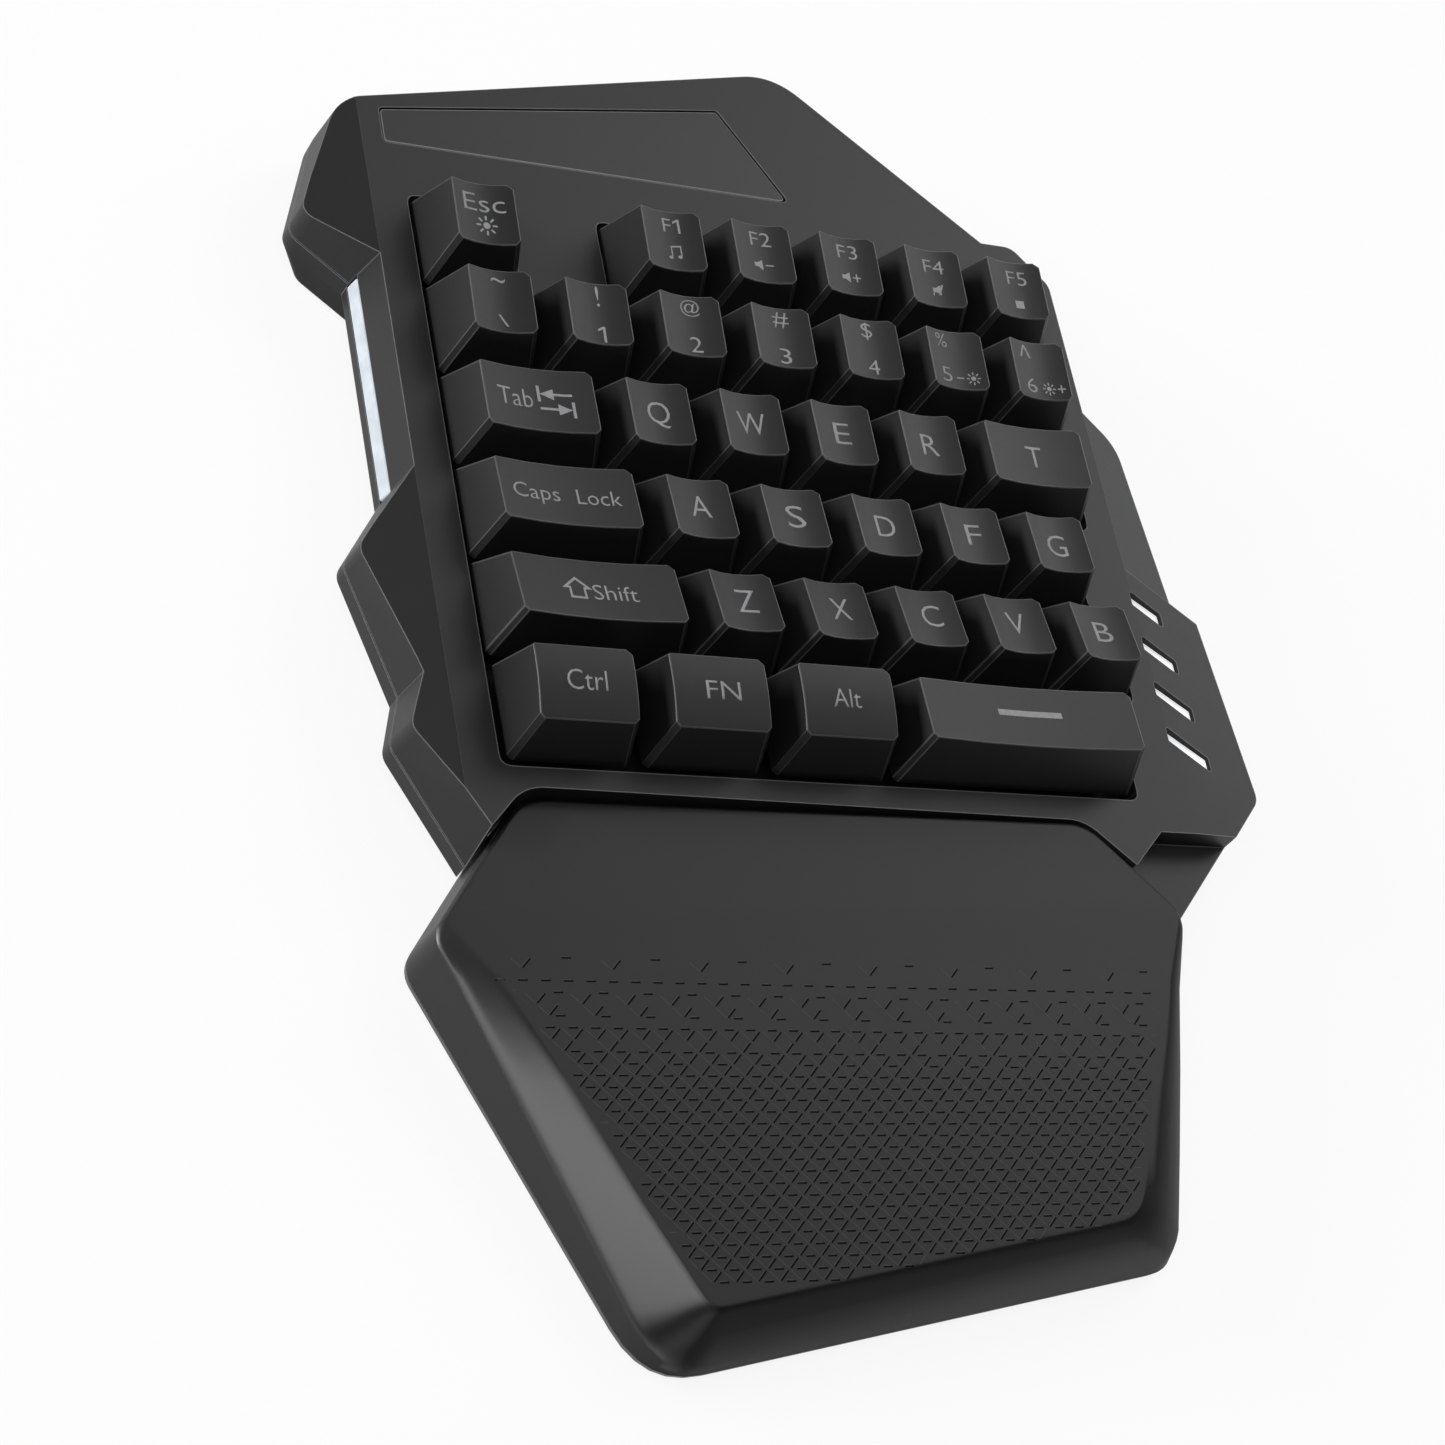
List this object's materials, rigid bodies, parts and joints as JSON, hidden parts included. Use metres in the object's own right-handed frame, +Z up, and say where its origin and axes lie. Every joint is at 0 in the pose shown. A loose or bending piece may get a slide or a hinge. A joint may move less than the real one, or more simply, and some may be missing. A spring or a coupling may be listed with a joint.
{
  "type": "gaming keypad",
  "caption": "One-handed keypad with sculpted keycaps in a faceted shell, a light bar at its waist, slotted side wing and a pull-off textured palm rest",
  "frame": {"origin": "middle of the footprint, on the desk", "axes": "+X runs along the key rows to the right, +Y from the palm rest to the rear, +Z up from the desk"},
  "size_m": [0.1778, 0.26, 0.0303],
  "materials": {
    "shell_plastic": "satin moulded ABS",
    "keycap_plastic": "satin moulded ABS, printed and lacquered",
    "badge_plastic": "smooth satin inlay",
    "diffuser_plastic": "milky light diffuser",
    "guide_plastic": "moulded, unpainted",
    "dome_silicone": "translucent matt silicone",
    "printed_film": "printed polyester film",
    "plated_steel": "zinc plated",
    "circuit_laminate": "solder-masked glass laminate",
    "black_rubber": "matt moulded rubber"
  },
  "bodies": {
    "housing": {"top_cover": "shell_plastic", "bottom_cover": "shell_plastic", "badge_plate": "badge_plastic", "light_bar": "diffuser_plastic", "led_strip": "circuit_laminate", "vent_light_guide": "diffuser_plastic", "key_guide_plate": "guide_plastic", "dome_sheet": "dome_silicone", "membrane_sheet": "printed_film", "support_plate": "plated_steel", "control_board": "circuit_laminate", "cable_gland": "black_rubber", "case_screw_1": "plated_steel", "case_screw_2": "plated_steel", "case_screw_3": "plated_steel", "case_screw_4": "plated_steel", "foot_rear_left": "black_rubber", "foot_rear_right": "black_rubber", "foot_front_left": "black_rubber", "foot_front_right": "black_rubber"},
    "key_esc": {"key_esc": "keycap_plastic"},
    "key_f1": {"key_f1": "keycap_plastic"},
    "key_f2": {"key_f2": "keycap_plastic"},
    "key_f3": {"key_f3": "keycap_plastic"},
    "key_f4": {"key_f4": "keycap_plastic"},
    "key_f5": {"key_f5": "keycap_plastic"},
    "key_backquote": {"key_backquote": "keycap_plastic"},
    "key_1": {"key_1": "keycap_plastic"},
    "key_2": {"key_2": "keycap_plastic"},
    "key_3": {"key_3": "keycap_plastic"},
    "key_4": {"key_4": "keycap_plastic"},
    "key_5": {"key_5": "keycap_plastic"},
    "key_6": {"key_6": "keycap_plastic"},
    "key_tab": {"key_tab": "keycap_plastic"},
    "key_q": {"key_q": "keycap_plastic"},
    "key_w": {"key_w": "keycap_plastic"},
    "key_e": {"key_e": "keycap_plastic"},
    "key_r": {"key_r": "keycap_plastic"},
    "key_t": {"key_t": "keycap_plastic"},
    "key_caps_lock": {"key_caps_lock": "keycap_plastic"},
    "key_a": {"key_a": "keycap_plastic"},
    "key_s": {"key_s": "keycap_plastic"},
    "key_d": {"key_d": "keycap_plastic"},
    "key_f": {"key_f": "keycap_plastic"},
    "key_g": {"key_g": "keycap_plastic"},
    "key_shift": {"key_shift": "keycap_plastic"},
    "key_z": {"key_z": "keycap_plastic"},
    "key_x": {"key_x": "keycap_plastic"},
    "key_c": {"key_c": "keycap_plastic"},
    "key_v": {"key_v": "keycap_plastic"},
    "key_b": {"key_b": "keycap_plastic"},
    "key_ctrl": {"key_ctrl": "keycap_plastic"},
    "key_fn": {"key_fn": "keycap_plastic"},
    "key_alt": {"key_alt": "keycap_plastic"},
    "key_space": {"key_space": "keycap_plastic"},
    "palm_rest": {"palm_rest_top": "shell_plastic", "palm_rest_base": "shell_plastic", "palm_screw": "plated_steel", "palm_foot_left": "black_rubber", "palm_foot_right": "black_rubber"}
  },
  "joints": [
    {"name": "key_esc_press", "type": "slide", "parent": "housing", "child": "key_esc", "axis": [0, 0, -1], "range_m": [0, 0.0035], "stiffness_N_per_m": 150, "springref_m": -0.003, "deforming": ["dome_sheet"]},
    {"name": "key_f1_press", "type": "slide", "parent": "housing", "child": "key_f1", "axis": [0, 0, -1], "range_m": [0, 0.0035], "stiffness_N_per_m": 150, "springref_m": -0.003, "deforming": ["dome_sheet"]},
    {"name": "key_f2_press", "type": "slide", "parent": "housing", "child": "key_f2", "axis": [0, 0, -1], "range_m": [0, 0.0035], "stiffness_N_per_m": 150, "springref_m": -0.003, "deforming": ["dome_sheet"]},
    {"name": "key_f3_press", "type": "slide", "parent": "housing", "child": "key_f3", "axis": [0, 0, -1], "range_m": [0, 0.0035], "stiffness_N_per_m": 150, "springref_m": -0.003, "deforming": ["dome_sheet"]},
    {"name": "key_f4_press", "type": "slide", "parent": "housing", "child": "key_f4", "axis": [0, 0, -1], "range_m": [0, 0.0035], "stiffness_N_per_m": 150, "springref_m": -0.003, "deforming": ["dome_sheet"]},
    {"name": "key_f5_press", "type": "slide", "parent": "housing", "child": "key_f5", "axis": [0, 0, -1], "range_m": [0, 0.0035], "stiffness_N_per_m": 150, "springref_m": -0.003, "deforming": ["dome_sheet"]},
    {"name": "key_backquote_press", "type": "slide", "parent": "housing", "child": "key_backquote", "axis": [0, 0, -1], "range_m": [0, 0.0035], "stiffness_N_per_m": 150, "springref_m": -0.003, "deforming": ["dome_sheet"]},
    {"name": "key_1_press", "type": "slide", "parent": "housing", "child": "key_1", "axis": [0, 0, -1], "range_m": [0, 0.0035], "stiffness_N_per_m": 150, "springref_m": -0.003, "deforming": ["dome_sheet"]},
    {"name": "key_2_press", "type": "slide", "parent": "housing", "child": "key_2", "axis": [0, 0, -1], "range_m": [0, 0.0035], "stiffness_N_per_m": 150, "springref_m": -0.003, "deforming": ["dome_sheet"]},
    {"name": "key_3_press", "type": "slide", "parent": "housing", "child": "key_3", "axis": [0, 0, -1], "range_m": [0, 0.0035], "stiffness_N_per_m": 150, "springref_m": -0.003, "deforming": ["dome_sheet"]},
    {"name": "key_4_press", "type": "slide", "parent": "housing", "child": "key_4", "axis": [0, 0, -1], "range_m": [0, 0.0035], "stiffness_N_per_m": 150, "springref_m": -0.003, "deforming": ["dome_sheet"]},
    {"name": "key_5_press", "type": "slide", "parent": "housing", "child": "key_5", "axis": [0, 0, -1], "range_m": [0, 0.0035], "stiffness_N_per_m": 150, "springref_m": -0.003, "deforming": ["dome_sheet"]},
    {"name": "key_6_press", "type": "slide", "parent": "housing", "child": "key_6", "axis": [0, 0, -1], "range_m": [0, 0.0035], "stiffness_N_per_m": 150, "springref_m": -0.003, "deforming": ["dome_sheet"]},
    {"name": "key_tab_press", "type": "slide", "parent": "housing", "child": "key_tab", "axis": [0, 0, -1], "range_m": [0, 0.0035], "stiffness_N_per_m": 150, "springref_m": -0.003, "deforming": ["dome_sheet"]},
    {"name": "key_q_press", "type": "slide", "parent": "housing", "child": "key_q", "axis": [0, 0, -1], "range_m": [0, 0.0035], "stiffness_N_per_m": 150, "springref_m": -0.003, "deforming": ["dome_sheet"]},
    {"name": "key_w_press", "type": "slide", "parent": "housing", "child": "key_w", "axis": [0, 0, -1], "range_m": [0, 0.0035], "stiffness_N_per_m": 150, "springref_m": -0.003, "deforming": ["dome_sheet"]},
    {"name": "key_e_press", "type": "slide", "parent": "housing", "child": "key_e", "axis": [0, 0, -1], "range_m": [0, 0.0035], "stiffness_N_per_m": 150, "springref_m": -0.003, "deforming": ["dome_sheet"]},
    {"name": "key_r_press", "type": "slide", "parent": "housing", "child": "key_r", "axis": [0, 0, -1], "range_m": [0, 0.0035], "stiffness_N_per_m": 150, "springref_m": -0.003, "deforming": ["dome_sheet"]},
    {"name": "key_t_press", "type": "slide", "parent": "housing", "child": "key_t", "axis": [0, 0, -1], "range_m": [0, 0.0035], "stiffness_N_per_m": 150, "springref_m": -0.003, "deforming": ["dome_sheet"]},
    {"name": "key_caps_lock_press", "type": "slide", "parent": "housing", "child": "key_caps_lock", "axis": [0, 0, -1], "range_m": [0, 0.0035], "stiffness_N_per_m": 150, "springref_m": -0.003, "deforming": ["dome_sheet"]},
    {"name": "key_a_press", "type": "slide", "parent": "housing", "child": "key_a", "axis": [0, 0, -1], "range_m": [0, 0.0035], "stiffness_N_per_m": 150, "springref_m": -0.003, "deforming": ["dome_sheet"]},
    {"name": "key_s_press", "type": "slide", "parent": "housing", "child": "key_s", "axis": [0, 0, -1], "range_m": [0, 0.0035], "stiffness_N_per_m": 150, "springref_m": -0.003, "deforming": ["dome_sheet"]},
    {"name": "key_d_press", "type": "slide", "parent": "housing", "child": "key_d", "axis": [0, 0, -1], "range_m": [0, 0.0035], "stiffness_N_per_m": 150, "springref_m": -0.003, "deforming": ["dome_sheet"]},
    {"name": "key_f_press", "type": "slide", "parent": "housing", "child": "key_f", "axis": [0, 0, -1], "range_m": [0, 0.0035], "stiffness_N_per_m": 150, "springref_m": -0.003, "deforming": ["dome_sheet"]},
    {"name": "key_g_press", "type": "slide", "parent": "housing", "child": "key_g", "axis": [0, 0, -1], "range_m": [0, 0.0035], "stiffness_N_per_m": 150, "springref_m": -0.003, "deforming": ["dome_sheet"]},
    {"name": "key_shift_press", "type": "slide", "parent": "housing", "child": "key_shift", "axis": [0, 0, -1], "range_m": [0, 0.0035], "stiffness_N_per_m": 150, "springref_m": -0.003, "deforming": ["dome_sheet"]},
    {"name": "key_z_press", "type": "slide", "parent": "housing", "child": "key_z", "axis": [0, 0, -1], "range_m": [0, 0.0035], "stiffness_N_per_m": 150, "springref_m": -0.003, "deforming": ["dome_sheet"]},
    {"name": "key_x_press", "type": "slide", "parent": "housing", "child": "key_x", "axis": [0, 0, -1], "range_m": [0, 0.0035], "stiffness_N_per_m": 150, "springref_m": -0.003, "deforming": ["dome_sheet"]},
    {"name": "key_c_press", "type": "slide", "parent": "housing", "child": "key_c", "axis": [0, 0, -1], "range_m": [0, 0.0035], "stiffness_N_per_m": 150, "springref_m": -0.003, "deforming": ["dome_sheet"]},
    {"name": "key_v_press", "type": "slide", "parent": "housing", "child": "key_v", "axis": [0, 0, -1], "range_m": [0, 0.0035], "stiffness_N_per_m": 150, "springref_m": -0.003, "deforming": ["dome_sheet"]},
    {"name": "key_b_press", "type": "slide", "parent": "housing", "child": "key_b", "axis": [0, 0, -1], "range_m": [0, 0.0035], "stiffness_N_per_m": 150, "springref_m": -0.003, "deforming": ["dome_sheet"]},
    {"name": "key_ctrl_press", "type": "slide", "parent": "housing", "child": "key_ctrl", "axis": [0, 0, -1], "range_m": [0, 0.0035], "stiffness_N_per_m": 150, "springref_m": -0.003, "deforming": ["dome_sheet"]},
    {"name": "key_fn_press", "type": "slide", "parent": "housing", "child": "key_fn", "axis": [0, 0, -1], "range_m": [0, 0.0035], "stiffness_N_per_m": 150, "springref_m": -0.003, "deforming": ["dome_sheet"]},
    {"name": "key_alt_press", "type": "slide", "parent": "housing", "child": "key_alt", "axis": [0, 0, -1], "range_m": [0, 0.0035], "stiffness_N_per_m": 150, "springref_m": -0.003, "deforming": ["dome_sheet"]},
    {"name": "key_space_press", "type": "slide", "parent": "housing", "child": "key_space", "axis": [0, 0, -1], "range_m": [0, 0.0035], "stiffness_N_per_m": 150, "springref_m": -0.003, "deforming": ["dome_sheet"]},
    {"name": "palm_rest_pull", "type": "slide", "parent": "housing", "child": "palm_rest", "axis": [0, -1, 0], "range_m": [0, 0.012]}
  ]
}
